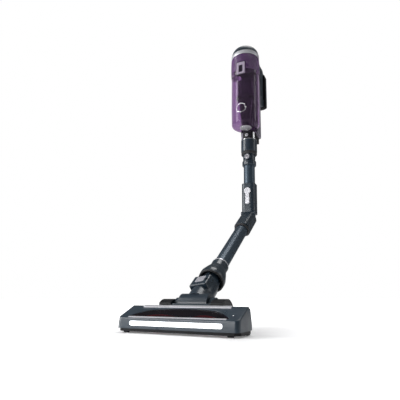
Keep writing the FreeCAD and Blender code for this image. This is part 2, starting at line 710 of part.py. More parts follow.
def lock_collar():
    """The collar between the tube and the socket: a wide ring below, and a boss for the round button."""
    body = turned("collar", [
        (0, "collar_low"), ("collar_r - 1", "collar_low"), ("collar_r", "collar_low + 2"),
        ("collar_r", "collar_low + 14"), ("tube_r + 1.8", "collar_low + 17"), ("tube_r + 1.8", "collar_high"),
        (0, "collar_high")])
    boss = cylinder("button_boss", "10.4", "12", moved(0, "-collar_r + 11.7", "knob_high", turn_x(90)))
    tube_room = cylinder("collar_tube_room", "tube_r + 0.05", "collar_high - 11 - collar_low + 5",
                         moved(0, 0, "collar_low - 5"))
    bore = cylinder("collar_bore", "17", "80", moved(0, 0, "collar_low - 5"))
    room = cylinder("button_room", "8.7", "14", moved(0, "-collar_r + 3.6", "knob_high", turn_x(90)))
    solid = fuse("collar_solid", body, boss)
    return cut("collar_open", cut("collar_bored", solid, fuse("collar_rooms", tube_room, bore)), room)


def connector_sleeve():
    return turned("socket", [
        ("socket_bore", "socket_low + 0.1"), ("socket_r - 0.8", "socket_low + 0.1"),
        ("socket_r", "socket_low + 1.2"), ("socket_r", "socket_high - 1"), ("socket_r - 1", "socket_high"),
        ("socket_bore", "socket_high")])


def seal_ring():
    return turned("rubber_ring", [
        ("17", "collar_high + 0.1"), ("socket_r - 1.2", "collar_high + 0.1"),
        ("socket_r - 0.6", "collar_high + 2"), ("socket_r - 0.6", "socket_low - 1.5"),
        ("socket_r - 1.4", "socket_low"), ("17", "socket_low")])


node("lower_tube", tube("lower_pipe", "tube_r", "tube_r - tube_wall", "bell_high + 3.2", "371"), LOWER)
node("flex_lower_shell", flex_lower_shell(), LOWER)
node("flex_end_ring", turned("end_ring", [
    ("tube_r + 0.05", "flex_low - 7"), (20.4, "flex_low - 7"), (21.4, "flex_low - 5"),
    (21.4, "flex_low - 0.1"), ("tube_r + 0.05", "flex_low - 0.1")]), LOWER)
node("flex_pin", cylinder("hinge_pin", "hinge_pin_r", "2 * flex_half - 1"),
     LOWER * along_x("-flex_half + 0.5", "-hinge_front", f"lower_length - {HINGE_UP:.4f}"))
node("flex_hose", flex_hose(), UPPER)
node("flex_upper_shell", flex_upper_shell(), UPPER)
node("flex_release", flex_key(), UPPER)
node("upper_tube", tube("upper_pipe", "tube_r", "tube_r - tube_wall", "88.2",
                        "collar_high - 11.2"), UPPER)
node("lock_collar", lock_collar(), UPPER)
button = turned("wand_knob", [(0, 0), (8.4, 0), (8.4, 3), (7.6, 3.8), (0, 4.4)])
node("wand_button", button, UPPER * moved(0, "-collar_r + 2", "knob_high", turn_x(90)))
node("seal_ring", seal_ring(), UPPER)
node("connector_sleeve", connector_sleeve(), UPPER)


# ---------------------------------------------------------------- hand unit

def beside_seam(name, start):
    """A large block 200 high that starts at a height over the slanted seam, which is low in front."""
    corners = [("-80", "-80"), ("80", "-80"), ("80", "80"), ("-80", "80")]
    big = prism(name, "XY_Plane", corners, "200", height=start)
    big.Placement = moved(0, 0, "seam_high", turn_x(size("seam_tilt")))
    return big


def dust_cup():
    """The clear dust container, open above, with a flat bottom and a rounded lower edge."""
    wall = turned("cup_wall", [
        (0, "cup_low"), ("cup_r - 9", "cup_low"), ("cup_r - 1", "cup_low + 9", "-9.5"),
        ("cup_r", "cup_low + 60"),
        ("cup_r", "seam_high + 22"), ("cup_r - cup_wall", "seam_high + 22"),
        ("cup_r - cup_wall", "cup_low + 60"), ("cup_r - 1 - cup_wall", "cup_low + 9"),
        ("cup_r - 9", "cup_low + cup_wall", "8.5"),
        (0, "cup_low + cup_wall")])
    return cut("cup", wall, beside_seam("over_cup", "-0.2"))


def lid_shell():
    """The ribbed clear lid between the slanted seam and the bright ring, with a room for its latch."""
    wall = turned("lid_wall", [
        ("cup_r", "seam_high - 25"), ("cup_r + 1.2", "seam_high + 4"), ("cup_r + 1.6", "seam_high + 28"),
        ("cup_r + 1.2", "seam_high + 55"), ("cup_r", "lid_high - 0.2"),
        ("cup_r - cup_wall - 1", "lid_high - 0.2"),
        ("cup_r - cup_wall - 1", "seam_high - 25")])
    whole = cut("lid_trimmed", wall, beside_seam("under_lid", "-199.8"))
    room = block("latch_room", ("-14.4", "-80", "459.5"), ("14.4", "-30", "508.9"))
    return cut("lid", whole, room)


def lid_latch():
    """The tall release plate on the front of the lid, with a recessed middle."""
    plate = prism("latch_plate", "XZ_Plane", rounded_rectangle("14", "21", "2.5", "487"), "6")
    rounded(plate, "1.2", lambda edge: edge.BoundBox.YMax < -5.9)
    dish = prism("latch_dish", "XZ_Plane", rounded_rectangle("6.5", "13", "2", "483.5"), "4", height="4.6")
    return cut("latch", plate, dish)


def cap_ring():
    return turned("bright_cap_ring", [
        ("cup_r - 4", "lid_high"), ("cup_r + 0.4", "lid_high"), ("cup_r + 1.2", "lid_high + 1.5"),
        ("cup_r + 0.8", "ring_high - 0.6"), ("cup_r", "ring_high"), ("cup_r - 4", "ring_high")])


def motor_cap():
    """The dark domed cap over the motor."""
    outer = [("cup_r", "ring_high + 0.1"), ("cup_r - 2.4", "ring_high + 11.5", "-60"),
             (35, "cap_high - 10.5", "-40"), (20, "cap_high - 1.8", "-38"), (0, "cap_high")]
    inner = [(0, "cap_high - 2.6"), (20, "cap_high - 4.8"), (33.4, "cap_high - 12.6"),
             ("cup_r - 4.8", "ring_high + 11"), ("cup_r - 2.6", "ring_high + 0.1")]
    return turned("cap_dome", outer + inner)


def spine_housing():
    """The back housing that cradles the cup and the cap, hollow for the duct and the electronics."""
    shell = prism("spine", "XY_Plane", rounded_rectangle("spine_half", "27", "13", "spine_back - 27"),
                  "spine_high - spine_low", height="spine_low")
    rounded(shell, "5", lambda edge: edge.BoundBox.ZMin > size("spine_high") - 1 and edge.BoundBox.YMin > 30)
    cradle = cylinder("cradle", "cup_r + 1.9", "400", moved(0, "-cup_front", "200"))
    room = rounded_rectangle("spine_half - 5", "9.5", "6", "spine_back - 12.5")
    inside = prism("spine_room", "XY_Plane", room, "spine_high - spine_low - 8", height="spine_low + 2.4")
    return cut("spine_hollow", cut("spine_cradled", shell, cradle), inside)


def inlet_nozzle():
    """The suction inlet: a spigot for the wand's socket, a collar and a foot under the spine."""
    collar = cylinder("inlet_collar", "nozzle_r", "spine_low - socket_high - 0.7",
                      moved(0, 0, "socket_high + 0.3"))
    spigot = cylinder("inlet_spigot", "socket_bore - bend_fit", "26", moved(0, 0, "socket_high - 24"))
    foot = block("inlet_foot", ("-21", "0", "socket_high + 4"), ("21", "44", "spine_low - 0.1"))
    bore = cylinder("inlet_bore", "15.5", "60", moved(0, 0, "socket_high - 30"))
    room = cylinder("inlet_button_room", "5.9", "12", moved(0, "-nozzle_r + 4", "inlet_knob_high", turn_x(90)))
    return cut("inlet_marked", cut("inlet", fuse("inlet_solid", collar, spigot, foot), bore), room)


def chamfer_grip(body, side):
    """Bevels the four long corners of the upright grip on one side."""
    edge = f"{side} * grip_half"
    for corner, way in (("grip_front", 1), ("grip_rear", -1)):
        wedge = [(edge, f"{corner} + {way} * 7"), (f"{edge} - {side} * 7", corner),
                 (f"{edge} - {side} * 7", f"{corner} - {way} * 3"),
                 (f"{edge} + {side} * 3", f"{corner} - {way} * 3"),
                 (f"{edge} + {side} * 3", f"{corner} + {way} * 7")]
        pocket(body, outline(body, "XY_Plane", wedge, "474"), "104", reverse=True)


def grip_handle():
    """The loop handle: two bridges from the spine and an upright grip, one moulding."""
    body = prism("handle", "YZ_Plane", [
        ("spine_back + 0.1", "540"), ("grip_front - 8", "542", "60"), ("grip_front", "534", "9"),
        ("grip_front", "474"), ("grip_front - 8", "466", "9"), ("spine_back + 0.1", "460"),
        ("spine_back + 0.1", "435"), ("grip_rear - 12", "440"), ("grip_rear", "452", "-14"),
        ("grip_rear", "582"), ("grip_rear - 14", "596", "-15"), ("grip_front - 18", "594"),
        ("spine_back + 0.1", "566", "-60")], "2 * grip_half", both_ways=True)
    for side in (-1, 1):
        chamfer_grip(body, side)
    room = block("trigger_room", ("-7.3", "80", "509.7"), ("7.3", "101", "534.3"))
    press_room = cylinder("power_room", "7.4", "8", moved(0, "98", "593.2"))
    return cut("handle_pressed", cut("handle_triggered", body, room), press_room)


def trigger():
    """The finger trigger, hollowed where the finger lies."""
    body = prism("trigger_plate", "YZ_Plane", [
        ("grip_front + 6", "510.2"), ("grip_front + 6", "533.8"), ("grip_front - 4.5", "533"),
        ("grip_front - 4.5", "513", "26")], "14", both_ways=True)
    return body


def battery_case():
    """The battery pack: a slab with round corners and a chamfered lower edge, open inside for its cells."""
    body = prism("pack", "YZ_Plane", [
        ("grip_rear + gap", "battery_low"), ("grip_rear + gap + 15", "battery_low"),
        ("grip_rear + gap + battery_deep", "battery_low + 11"),
        ("grip_rear + gap + battery_deep", "battery_high - 16"),
        ("grip_rear + gap + 7", "battery_high", "-20"), ("grip_rear + gap", "battery_high")],
        "2 * battery_half", both_ways=True)
    rear = size("grip_rear + gap + battery_deep")
    rounded(body, "4", lambda edge: edge.BoundBox.XLength < 0.01 and edge.BoundBox.YMin > rear - 0.1)
    half_high, middle = "(battery_high - battery_low) / 2", "(battery_high + battery_low) / 2"
    face = rounded_rectangle("battery_half", half_high, "15", middle)
    slab = common("pack_slab", body, prism("pack_face", "XZ_Plane", face, "400", both_ways=True))
    room = block("pack_room", ("-19.6", "grip_rear + gap + 2", "battery_low + 8"),
                 ("19.6", "grip_rear + gap + 21.5", "battery_low + 137"))
    return cut("pack_hollow", slab, room)


def battery_cells():
    made = []
    for column in (-1, 1):
        for level in (0, 1):
            place = moved(f"{column} * 9.6", "grip_rear + gap + 11.7", f"battery_low + 8.3 + {level} * 63.5")
            made.append(cylinder(f"cell_{column}_{level}", "9.1", "62", place))
    return group("cells", *made)


def impeller():
    """The fan wheel under the motor: a disc with swept blades and a bored hub, about its own axis."""
    pieces = [cylinder("fan_disc", "31", "1.6"), cylinder("fan_hub", "7", "12")]
    for index in range(9):
        blade = prism(f"blade_{index}", "XY_Plane", [
            ("6", "-0.7"), ("18", "-3.9"), ("29.6", "-9.2"), ("30.2", "-8"), ("18.5", "-2.5"), ("6", "0.7")],
            "10", height="1")
        blade.Placement = moved(rotation=turn_z(index * FULL_TURN / 9))
        pieces.append(blade)
    return cut("fan_bored", fuse("fan", *pieces), cylinder("fan_bore", "fan_shaft_r + bend_fit", "20"))


def cyclone_cone():
    """The inner separator: a skirted cone that stands on the cup's bottom."""
    return turned("cone", [
        (0, "cup_low + cup_wall + 0.2"), (13, "cup_low + cup_wall + 0.2"), (16, "cup_low + 30"),
        (22, "cup_low + 96"), (31, "cup_low + 104"), (31, "cup_low + 107"), (20, "cup_low + 107"),
        (14, "cup_low + 32"), (0, "cup_low + 32")])


def mesh_screen():
    """The perforated drum above the cone, with a row of slots round it."""
    drum = turned("drum", [
        (20, "cup_low + 107.2"), (26, "cup_low + 107.2"), (26, "cup_low + 165"), (24, "cup_low + 165"),
        (24, "cup_low + 109.2"), (20, "cup_low + 109.2")])
    slots = []
    for index in range(12):
        corners = [("18", "-1.6"), ("30", "-1.6"), ("30", "1.6"), ("18", "1.6")]
        slot = prism(f"slot_{index}", "XY_Plane", corners, "44", height="cup_low + 114")
        slot.Placement = moved(rotation=turn_z(index * FULL_TURN / 12))
        slots.append(slot)
    return cut("screen", drum, fuse("slots", *slots))


node("inlet_nozzle", inlet_nozzle(), UPPER)
knob = turned("inlet_knob", [(0, 0), (5.6, 0), (5.6, 2.4), (5, 3), (0, 3.3)])
node("inlet_button", knob, UPPER * moved(0, "-nozzle_r + 2.3", "inlet_knob_high", turn_x(90)))
node("spine_housing", spine_housing(), UPPER)
node("lid_shell", lid_shell(), CUP)
node("lid_latch", lid_latch(), UPPER * moved(0, "-cup_front - cup_r + 3.4", 0))
node("cap_ring", cap_ring(), CUP)
node("motor_cap", motor_cap(), CUP)
node("grip_handle", grip_handle(), UPPER)
node("trigger", trigger(), UPPER)
power = turned("power", [(0, 0), (7.1, 0), (7.1, 3.4), (6.2, 4.2), (0, 3.4)])
node("power_button", power, UPPER * moved(0, "98", "594.8"))
node("battery_case", battery_case(), UPPER)
node("battery_cells", battery_cells(), UPPER)
node("dust_cup", dust_cup(), CUP)
node("cup_badge", turned("disc", [
    (0, "cup_low - 1.6"), (18, "cup_low - 1.6"), (18.8, "cup_low - 0.9"), (18.8, "cup_low - 0.1"),
    (0, "cup_low - 0.1")]), CUP)
node("cyclone_cone", cyclone_cone(), CUP)
node("mesh_screen", mesh_screen(), CUP)
node("foam_filter", turned("foam", [
    (8, 508), ("cup_r - cup_wall - 1.2", 508), ("cup_r - cup_wall - 1.2", 519), (8, 519)]), CUP)
node("impeller", impeller(), CUP * moved(0, 0, 522))
node("fan_motor", turned("motor", [
    (0, 524), ("fan_shaft_r", 524), ("fan_shaft_r", 535.4), (12, 535.4), (12, 537), (26, 537), (26, 572),
    (10, 572), (10, "cap_high - 4"), (0, "cap_high - 4")]), CUP)
node("circuit_board", fuse("board", block("board_sheet", ("-18", "45.2", "470"), ("18", "46.8", "560")),
                           block("board_coil", ("-10", "38", "500"), ("8", "45.2", "520"))), UPPER)


# ---------------------------------------------------------------- finish

def finish():
    """Checks every object of the document and writes each node's file."""
    doc.recompute()
    for item in doc.Objects:
        assert not {"Invalid", "Error"} & set(item.State), f"{item.Name} ({item.Label}) failed"
    os.makedirs("parts", exist_ok=True)
    for item in NODES:
        assert not item.Shape.isNull() and item.Shape.isValid(), f"{item.Label} is not a sound shape"
        item.Shape.exportStep(f"parts/{item.Label}.step")
        print(item.Label, len(item.Shape.Solids), round(item.Shape.Volume))


finish()
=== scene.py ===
"""Looks of the cordless stick vacuum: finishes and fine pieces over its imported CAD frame.

Lengths in this file are millimetres in the local frame of one part of the vacuum (UPPER, CUP, LOWER or
HEAD). Each local frame is a matrix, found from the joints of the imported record, that turns them into metres
of the shared frame.
"""

import json
import math
from itertools import product

import bmesh
import bpy
from mathutils import Matrix, Vector


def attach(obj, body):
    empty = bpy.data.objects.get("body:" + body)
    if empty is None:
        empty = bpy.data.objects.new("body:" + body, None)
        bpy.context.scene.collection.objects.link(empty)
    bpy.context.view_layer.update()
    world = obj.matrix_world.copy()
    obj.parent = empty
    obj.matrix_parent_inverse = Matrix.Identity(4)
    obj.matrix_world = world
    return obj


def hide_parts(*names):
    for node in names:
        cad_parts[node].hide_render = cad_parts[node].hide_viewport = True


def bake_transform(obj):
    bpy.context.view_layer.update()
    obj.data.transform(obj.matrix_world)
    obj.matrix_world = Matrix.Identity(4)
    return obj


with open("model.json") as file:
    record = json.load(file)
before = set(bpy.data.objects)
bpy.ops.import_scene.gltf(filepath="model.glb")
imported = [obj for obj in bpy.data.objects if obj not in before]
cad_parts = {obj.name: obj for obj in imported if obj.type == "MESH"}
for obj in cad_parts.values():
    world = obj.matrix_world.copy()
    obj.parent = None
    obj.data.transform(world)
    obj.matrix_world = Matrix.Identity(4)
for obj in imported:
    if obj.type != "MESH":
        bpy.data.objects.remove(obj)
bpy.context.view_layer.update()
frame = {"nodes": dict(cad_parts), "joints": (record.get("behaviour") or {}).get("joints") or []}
joints = {joint["name"]: joint for joint in frame["joints"]}
scene = bpy.context.scene

MM = 0.001

# the flex joint: its hinge lies this far before the wand's axis, and so high above the bend
FLEX_BEND = math.radians(joints["flex_fold"]["range_deg"][1])
HINGE_FRONT = 14.5
HINGE_UP = HINGE_FRONT * math.tan(FLEX_BEND / 2)

# the dust cup: the distance of its axis before the wand's, its radius, and the slanted seam under the lid
CUP_FRONT = 33.0
CUP_RADIUS = 46.0
SEAM_HIGH = 477.0
SEAM_TILT = math.radians(17.0)

# the head: the front and rear edges of its sloping top as (y, z), and the middle of the roller
SLOPE_FRONT = (2.2, 27.9)
SLOPE_REAR = (52.8, 50.4)
HEAD_SLOPE = math.atan2(SLOPE_REAR[1] - SLOPE_FRONT[1], SLOPE_REAR[0] - SLOPE_FRONT[0])
BRUSH = Vector((0, 34.0, 17.8))


# ---------------------------------------------------------------- local frames

def axis(name, sign=1):
    """The direction in which a joint turns or slides, or the opposite one for a sign of -1."""
    return Vector(joints[name]["axis"]).normalized() * sign


def local_frame(point, local, x=None, y=None, z=None):
    """The matrix from local millimetres to the shared frame, from two axes and one known point."""
    x = x or y.cross(z)
    y = y or z.cross(x)
    z = z or x.cross(y)
    turn = Matrix((x, y, z)).transposed().to_4x4()
    grown = turn @ Matrix.Scale(MM, 4)
    return Matrix.Translation(Vector(point) - grown @ Vector(local)) @ grown


UPPER = local_frame((0, 0, 0), (0, 107, 500), y=axis("trigger_pull"), z=axis("battery_slide", -1))
LOWER = local_frame(joints["neck_swivel"]["pos_m"], (0, 0, 20), x=axis("flex_fold"), z=axis("neck_pull", -1))
HEAD = local_frame(joints["neck_pitch"]["pos_m"], (0, 95.6, 51.3), x=Vector((1, 0, 0)), z=Vector((0, 0, 1)))
CUP = UPPER @ Matrix.Translation((0, -CUP_FRONT, 0))


def reach(node, place):
    """The lowest and highest corner of a CAD node in the millimetres of a local frame."""
    thing = frame["nodes"][node]
    back = place.inverted() @ thing.matrix_world
    points = [back @ vertex.co for vertex in thing.data.vertices]
    return (Vector(min(point[i] for point in points) for i in range(3)),
            Vector(max(point[i] for point in points) for i in range(3)))


# ---------------------------------------------------------------- camera, light and floor

def make_camera():
    """A camera low in front of the head, which looks up at the hand unit."""
    camera = bpy.data.objects.new("camera", bpy.data.cameras.new("camera"))
    scene.collection.objects.link(camera)
    camera.location = HEAD @ Vector((361.9, -602.1, 67.7))
    camera.rotation_euler = (math.radians(105), 0, math.radians(26.9))
    camera.data.lens = 32.52
    camera.data.clip_start = 0.01
    scene.camera = camera


def area_light(name, place, target, width, height, power, mirrored=True):
    """A soft box at a place in metres, turned to a target, that is not seen itself, even through the cup."""
    light = bpy.data.lights.new(name, "AREA")
    light.shape = "RECTANGLE"
    light.size, light.size_y, light.energy = width, height, power
    lamp = bpy.data.objects.new(name, light)
    scene.collection.objects.link(lamp)
    lamp.location = place
    lamp.rotation_euler = (Vector(target) - Vector(place)).to_track_quat("-Z", "Y").to_euler()
    lamp.visible_camera = lamp.visible_transmission = False
    lamp.visible_glossy = mirrored


def make_studio():
    """Surroundings that are white to look at or through and dim to light with, and soft boxes around."""
    dim, white = 0.12, 1.0
    world = bpy.data.worlds.new("studio")
    scene.world = world
    world.use_nodes = True
    nodes, links = world.node_tree.nodes, world.node_tree.links
    background = nodes["Background"]
    background.inputs["Color"].default_value = (1, 1, 1, 1)
    rays = nodes.new("ShaderNodeLightPath")
    strength = nodes.new("ShaderNodeMapRange")
    strength.inputs["To Min"].default_value = dim
    strength.inputs["To Max"].default_value = white
    through, unlit, looks = (nodes.new("ShaderNodeMath") for _ in range(3))
    through.operation, unlit.operation, looks.operation = "MULTIPLY", "LESS_THAN", "MAXIMUM"
    unlit.inputs[1].default_value = 0.5
    links.new(rays.outputs["Diffuse Depth"], unlit.inputs[0])
    links.new(rays.outputs["Is Transmission Ray"], through.inputs[0])
    links.new(unlit.outputs[0], through.inputs[1])
    links.new(rays.outputs["Is Camera Ray"], looks.inputs[0])
    links.new(through.outputs[0], looks.inputs[1])
    links.new(looks.outputs[0], strength.inputs["Value"])
    links.new(strength.outputs["Result"], background.inputs["Strength"])
    area_light("left_box", (-1.5, -1.2, 0.1), (0, -0.1, -0.3), 0.7, 2.0, 30)
    area_light("right_box", (1.9, 0.3, 0.1), (0, -0.1, -0.3), 0.4, 2.0, 7)
    area_light("top_box", (0.15, 0.2, 1.7), (0, -0.3, -0.4), 1.1, 0.9, 24)
    area_light("low_box", (-0.9, -2.2, -0.2), (0, -0.3, -0.7), 1.2, 0.4, 14)
    area_light("back_box", (-0.9, 1.5, 0.7), (0, 0, -0.2), 1.2, 1.2, 12, mirrored=False)
    scene.view_settings.view_transform = "Standard"
    scene.view_settings.look = "None"


def make_floor():
    """A plain pale floor that turns into the white of the surroundings away from the vacuum."""
    near, far = 0.10, 0.7
    mesh = bpy.data.meshes.new("floor")
    shape = bmesh.new()
    bmesh.ops.create_circle(shape, cap_ends=True, radius=9, segments=96)
    shape.to_mesh(mesh)
    shape.free()
    floor = bpy.data.objects.new("floor", mesh)
    scene.collection.objects.link(floor)
    floor.location = HEAD @ Vector((0, 40, -0.4))
    finish = Finish("pale_floor", (0.95, 0.95, 0.96), 0.6)
    away = finish.add("ShaderNodeVectorMath", [(0, finish.coordinates)], operation="LENGTH").outputs["Value"]
    finish.set("Emission Color", (1, 1, 1, 1))
    seen = finish.add("ShaderNodeLightPath").outputs["Is Camera Ray"]
    glow = finish.math("MULTIPLY", finish.spread(away, 0.14, 1.05, near, far), seen)
    finish.paint("Emission Strength", glow)
    finish.bump((finish.noise(900, 3), 0.05, 0.2))
    mesh.materials.append(finish.material)


# ---------------------------------------------------------------- finishes

def scaled(color, factor, lift=0.0):
    """A colour times a factor, plus a lift, as an opaque colour that stays at or under white."""
    return (*(min(1.0, part * factor + lift) for part in color), 1)


class Finish:
    """A material with one Principled surface, and short ways to add detail to it."""

    def __init__(self, name, color, rough, metal=0.0, **sockets):
        self.material = bpy.data.materials.new(name)
        self.material.use_nodes = True
        self.nodes, self.links = self.material.node_tree.nodes, self.material.node_tree.links
        self.surface = self.nodes["Principled BSDF"]
        self.color = color
        self.set("Base Color", (*color, 1))
        self.set("Roughness", rough)
        self.set("Metallic", metal)
        for socket, amount in sockets.items():
            self.set(socket.replace("_", " "), amount)
        self.coordinates = self.nodes.new("ShaderNodeTexCoord").outputs["Object"]

    def set(self, socket, amount):
        self.surface.inputs[socket].default_value = amount

    def add(self, kind, inputs=(), **settings):
        """A new node with its settings, and its inputs given as (name or number, value or socket)."""
        node = self.nodes.new(kind)
        for name, amount in settings.items():
            setattr(node, name, amount)
        for socket, amount in inputs:
            if isinstance(amount, bpy.types.NodeSocket):
                self.links.new(amount, node.inputs[socket])
            else:
                node.inputs[socket].default_value = amount
        return node

    def math(self, operation, *values):
        return self.add("ShaderNodeMath", enumerate(values), operation=operation).outputs[0]

    def vector_math(self, operation, *values):
        return self.add("ShaderNodeVectorMath", enumerate(values), operation=operation).outputs[0]

    def placed(self, matrix=None, stretch=(1, 1, 1)):
        """Coordinates in millimetres of a local frame, stretched along its axes."""
        back = (matrix or Matrix.Scale(MM, 4)).inverted()
        turned = self.add("ShaderNodeMapping", [
            ("Vector", self.coordinates), ("Location", back.to_translation()), ("Rotation", back.to_euler()),
            ("Scale", back.to_scale())])
        return self.vector_math("MULTIPLY", turned.outputs[0], stretch)

    def noise(self, scale, detail, vector=None):
        """A noise from 0 to 1 with a scale per metre of the object, or per unit of the vector."""
        return self.add("ShaderNodeTexNoise", [("Vector", vector or self.coordinates), ("Scale", scale),
                                               ("Detail", detail)]).outputs["Fac"]

    def spread(self, value, low, high, start=0.3, end=0.7):
        """Maps a value from start..end to low..high."""
        return self.add("ShaderNodeMapRange", [("Value", value), ("From Min", start), ("From Max", end),
                                               ("To Min", low), ("To Max", high)]).outputs["Result"]

    def mix(self, amount, first, second):
        node = self.add("ShaderNodeMix", data_type="RGBA")
        for index, value in ((0, amount), (6, first), (7, second)):
            if isinstance(value, bpy.types.NodeSocket):
                self.links.new(value, node.inputs[index])
            else:
                node.inputs[index].default_value = value
        return node.outputs[2]

    def paint(self, socket, value):
        self.links.new(value, self.surface.inputs[socket])

    def rounding(self, radius):
        """Normals of edges rounded by a radius in millimetres."""
        return self.add("ShaderNodeBevel", [("Radius", radius * MM)], samples=4).outputs["Normal"]

    def bump(self, *layers, edge=0.0):
        """Stacks bumps, each (height, depth in millimetres, strength), over edges rounded by a radius."""
        normal = self.rounding(edge) if edge else None
        for height, depth, strength in layers:
            node = self.add("ShaderNodeBump", [
                ("Height", height), ("Distance", depth * MM), ("Strength", strength)])
            if normal:
                self.links.new(normal, node.inputs["Normal"])
            normal = node.outputs["Normal"]
        self.paint("Normal", normal)

    def edge_wear(self, color, radius=0.5):
        """The given colour, with a lighter one in patches along the edges."""
        rounded = self.rounding(radius)
        plain = self.add("ShaderNodeNewGeometry").outputs["Normal"]
        match = self.add("ShaderNodeVectorMath", [(0, rounded), (1, plain)], operation="DOT_PRODUCT")
        worn = self.spread(match.outputs["Value"], 1.0, 0.0, 0.82, 0.995)
        patchy = self.math("MULTIPLY", worn, self.spread(self.noise(160, 4), 0.15, 0.8))
        return self.mix(patchy, color, scaled(self.color, 1.8, 0.012))

    def shades(self, scale, amount):
        """The base colour, a little lighter and darker in soft patches."""
        patches = self.spread(self.noise(scale, 4), 0, 1)
        return self.mix(patches, scaled(self.color, 1 - amount), scaled(self.color, 1 + amount))


def moulded(name, color, rough, grain=0.02, coat=0.0, gloss=0.5):
    """Moulded plastic: a fine spark-eroded grain, soft patches of shade, and lighter worn edges."""
    finish = Finish(name, color, rough, Coat_Weight=coat, Coat_Roughness=0.2, Specular_IOR_Level=gloss)
    finish.paint("Base Color", finish.edge_wear(finish.shades(45, 0.09)))
    smudges = finish.noise(28, 6)
    finish.paint("Roughness", finish.spread(smudges, rough - 0.07, rough + 0.09))
    finish.bump((finish.noise(2600, 2), grain, 0.3), (finish.noise(700, 3), grain * 1.4, 0.25), edge=0.5)
    return finish.material


def two_tone(name, color, other, place, inside, rough, coat=0.2, gloss=0.5):
    """Moulded plastic whose colour changes to another inside a box, given as middle and half sizes."""
    finish = Finish(name, color, rough, Coat_Weight=coat, Coat_Roughness=0.2, Specular_IOR_Level=gloss)
    middle, half = inside
    offset = finish.vector_math("SUBTRACT", finish.placed(place), middle)
    share = finish.vector_math("DIVIDE", finish.vector_math("ABSOLUTE", offset), half)
    across, deep, up = finish.add("ShaderNodeSeparateXYZ", [(0, share)]).outputs
    farthest = finish.math("MAXIMUM", finish.math("MAXIMUM", across, deep), up)
    outside = finish.spread(farthest, 0, 1, 0.995, 1.005)
    finish.paint("Base Color", finish.edge_wear(finish.mix(outside, (*other, 1), finish.shades(45, 0.09))))
    finish.paint("Roughness", finish.spread(finish.noise(28, 6), rough - 0.07, rough + 0.09))
    finish.bump((finish.noise(2600, 2), 0.03, 0.5), edge=0.4)
    return finish.material


def painted_tube(name, color, place):
    """Anodised tube: lengthwise drawing lines under a satin paint."""
    finish = Finish(name, color, 0.42, 0.5, Coat_Weight=0.25, Coat_Roughness=0.25)
    lines = finish.noise(1.0, 4, finish.placed(place, (2.2, 2.2, 0.03)))
    darker, lighter = scaled(color, 0.86), scaled(color, 1.16)
    finish.paint("Base Color", finish.mix(finish.spread(lines, 0, 1), darker, lighter))
    finish.paint("Roughness", finish.spread(finish.noise(40, 5), 0.38, 0.47))
    finish.bump((lines, 0.008, 0.12), edge=0.3)
    return finish.material


def bright(name, color=(0.78, 0.79, 0.81), rough=0.16, metal=1.0):
    """Bright metal or plated plastic with fine brushed lines."""
    finish = Finish(name, color, rough, metal)
    lines = finish.noise(1.0, 3, finish.placed(None, (0.2, 6, 6)))
    finish.paint("Roughness", finish.spread(lines, rough - 0.05, rough + 0.1))
    finish.paint("Base Color", finish.shades(60, 0.05))
    finish.bump((lines, 0.008, 0.3), edge=0.3)
    return finish.material


def rubber(name, color=(0.018, 0.018, 0.02), rough=0.72):
    """Soft black rubber with a fine dry bloom."""
    finish = Finish(name, color, rough, Sheen_Weight=0.15, Sheen_Roughness=0.4)
    finish.paint("Base Color", finish.edge_wear(finish.shades(80, 0.25), 0.4))
    finish.paint("Roughness", finish.spread(finish.noise(60, 5), rough - 0.12, rough + 0.1))
    finish.bump((finish.noise(3200, 3), 0.03, 0.6), (finish.noise(500, 4), 0.05, 0.35), edge=0.4)
    return finish.material


def clear_purple(name, color, clear):
    """Tinted plastic with faint moulding waves and fine scratches, clear by a share and otherwise cloudy."""
    rough = 0.04
    finish = Finish(name, color, rough, Transmission_Weight=clear, IOR=1.28)
    waves = finish.noise(22, 3)
    scratches = finish.noise(1.0, 4, finish.placed(CUP, (3, 3, 0.06)))
    finish.paint("Roughness", finish.spread(scratches, rough, rough + 0.05, 0.45, 0.75))
    finish.bump((waves, 0.06, 0.2), (scratches, 0.01, 0.2))
    return finish.material


def smoked_pane(name, color, cover):
    """A thin smoked pane, which hides a share of what lies behind it."""
    finish = Finish(name, color, 0.06, Alpha=cover, Specular_IOR_Level=0.3)
    finish.paint("Base Color", finish.shades(30, 0.2))
    finish.paint("Roughness", finish.spread(finish.noise(400, 5), 0.04, 0.12, 0.45, 0.75))
    finish.bump((finish.noise(25, 3), 0.05, 0.2))
    return finish.material


def glowing(name):
    """A frosted lens lit from behind, in soft bands that repeat with the step of its lamps."""
    lamp_step = 15.6
    finish = Finish(name, (0.95, 0.97, 1.0), 0.25)
    along = finish.add("ShaderNodeSeparateXYZ", [(0, finish.placed(HEAD))]).outputs["X"]
    spots = finish.math("COSINE", finish.math("MULTIPLY", along, math.tau / lamp_step))
    finish.set("Emission Color", (0.95, 0.98, 1.0, 1))
    finish.paint("Emission Strength", finish.spread(spots, 1.9, 1.4, -1, 1))
    finish.bump((finish.noise(1500, 2), 0.02, 0.3), edge=0.4)
    return finish.material


def fibre(name, color, rough=0.6):
    """Nylon bristle or felt, streaked along each strand."""
    finish = Finish(name, color, rough, Specular_IOR_Level=0.25)
    finish.paint("Base Color", finish.shades(900, 0.35))
    finish.bump((finish.noise(3500, 2), 0.05, 0.5))
    return finish.material


def foam(name, color):
    """Open-cell foam, with painted shade darkening the pore in the middle of each cell."""
    finish = Finish(name, color, 0.95)
    voronoi = finish.add("ShaderNodeTexVoronoi", [("Vector", finish.coordinates), ("Scale", 700.0)])
    cells = voronoi.outputs["Distance"]
    # painted shade: this mix darkens the colour to 0.4 towards the middle of each cell, where the pores dip
    pore_shade_mix = finish.spread(cells, 0, 1, 0.1, 0.6)
    finish.paint("Base Color", finish.mix(pore_shade_mix, scaled(color, 0.4), (*color, 1)))
    finish.bump((cells, 0.6, 0.9))
    return finish.material


